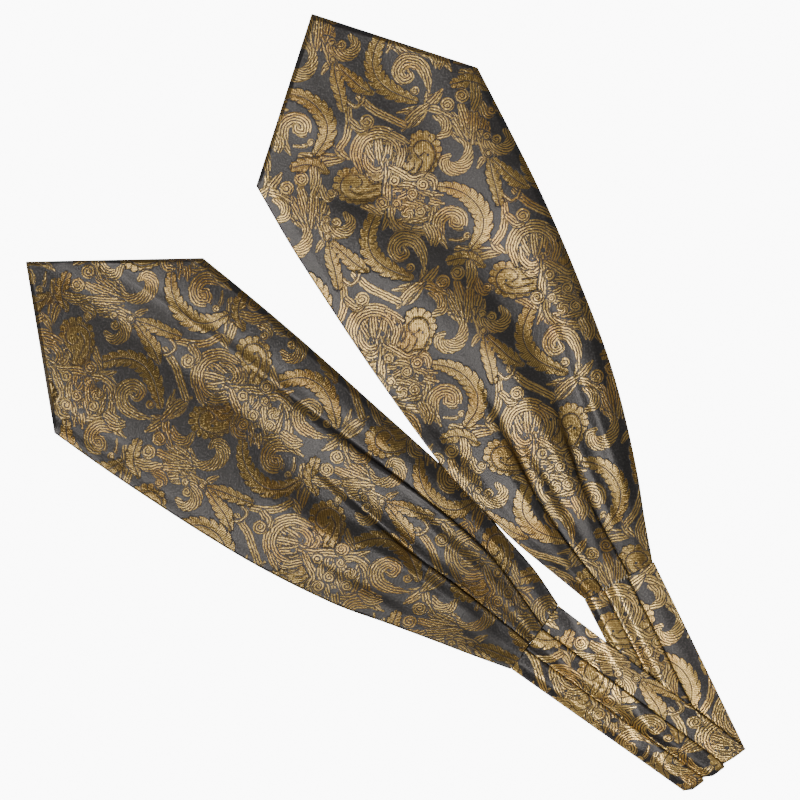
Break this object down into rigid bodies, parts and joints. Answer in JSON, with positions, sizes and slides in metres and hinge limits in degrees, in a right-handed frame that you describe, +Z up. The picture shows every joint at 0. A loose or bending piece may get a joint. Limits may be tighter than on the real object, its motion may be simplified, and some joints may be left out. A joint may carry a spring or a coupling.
{
  "type": "silk cravat",
  "caption": "Day cravat of gold and charcoal brocade laid flat: pointed tails spread from a pleated neckband folded in half.",
  "frame": {"origin": "middle of the whole plan, on the surface that the cravat lies on", "axes": "+Y along the line that halves the two tails, from the neckband's fold to the pointed ends; +X towards the right tail; +Z up"},
  "size_m": [0.3914, 0.5884, 0.0128],
  "materials": {
    "tail_brocade": "figured silk brocade, satin gold scrolls on a charcoal twill ground",
    "back_brocade": "the same brocade, on the side that lies down",
    "band_brocade": "the same brocade, doubled and pressed in knife pleats"
  },
  "bodies": {
    "root": {"left_tail_front": "tail_brocade", "left_tail_back": "back_brocade", "right_tail_front": "tail_brocade", "right_tail_back": "back_brocade", "neckband_upper_leg": "band_brocade", "neckband_lower_leg": "band_brocade"}
  },
  "joints": []
}
